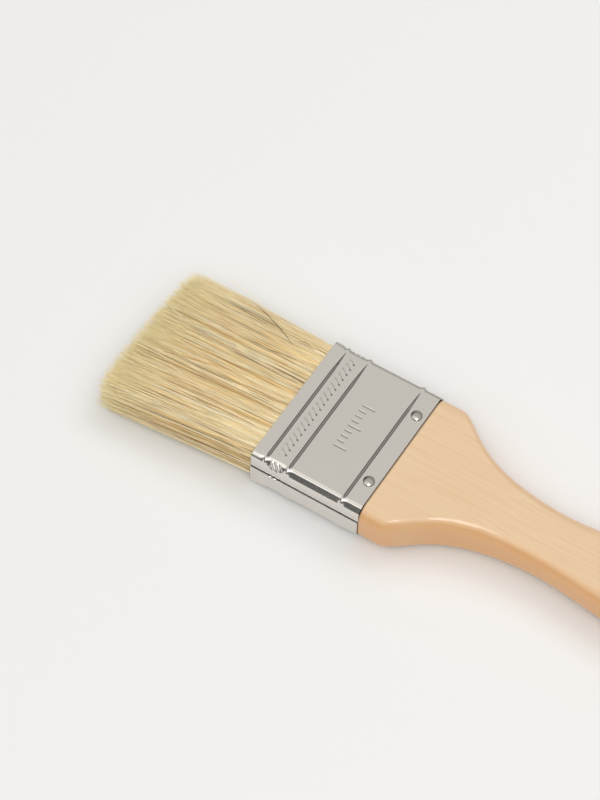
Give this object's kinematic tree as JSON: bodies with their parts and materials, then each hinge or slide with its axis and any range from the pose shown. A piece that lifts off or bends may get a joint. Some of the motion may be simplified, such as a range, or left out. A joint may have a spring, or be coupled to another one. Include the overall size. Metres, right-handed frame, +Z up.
{
  "type": "flat pastry brush",
  "caption": "Flat two-inch pastry brush: lacquered wooden handle with a hanging hole, beaded tinplate ferrule, and a thick head of blond natural bristle.",
  "frame": {"origin": "below the middle of the brush, on the surface that it lies on", "axes": "+X from the bristle tips to the end of the handle, +Y across the brush, +Z up through its thickness"},
  "size_m": [0.21, 0.0548, 0.0168],
  "materials": {
    "lacquered_wood": "pale close-grained hardwood under a thin clear satin lacquer",
    "tinplate": "bright cold-rolled tinplate, rolled and pressed",
    "plated_steel": "bright plated steel, polished domed head",
    "natural_bristle": "blond natural bristle with paler split tips",
    "setting_resin": "cast amber setting resin",
    "plug_wood": "plain sawn softwood strip, not lacquered"
  },
  "bodies": {
    "root": {"handle": "lacquered_wood", "ferrule": "tinplate", "resin_setting": "setting_resin", "bristles_front": "natural_bristle", "bristles_middle": "natural_bristle", "bristles_back": "natural_bristle", "plug_front": "plug_wood", "plug_back": "plug_wood", "nail_front_left": "plated_steel", "nail_front_right": "plated_steel", "nail_back_left": "plated_steel", "nail_back_right": "plated_steel"}
  },
  "joints": []
}
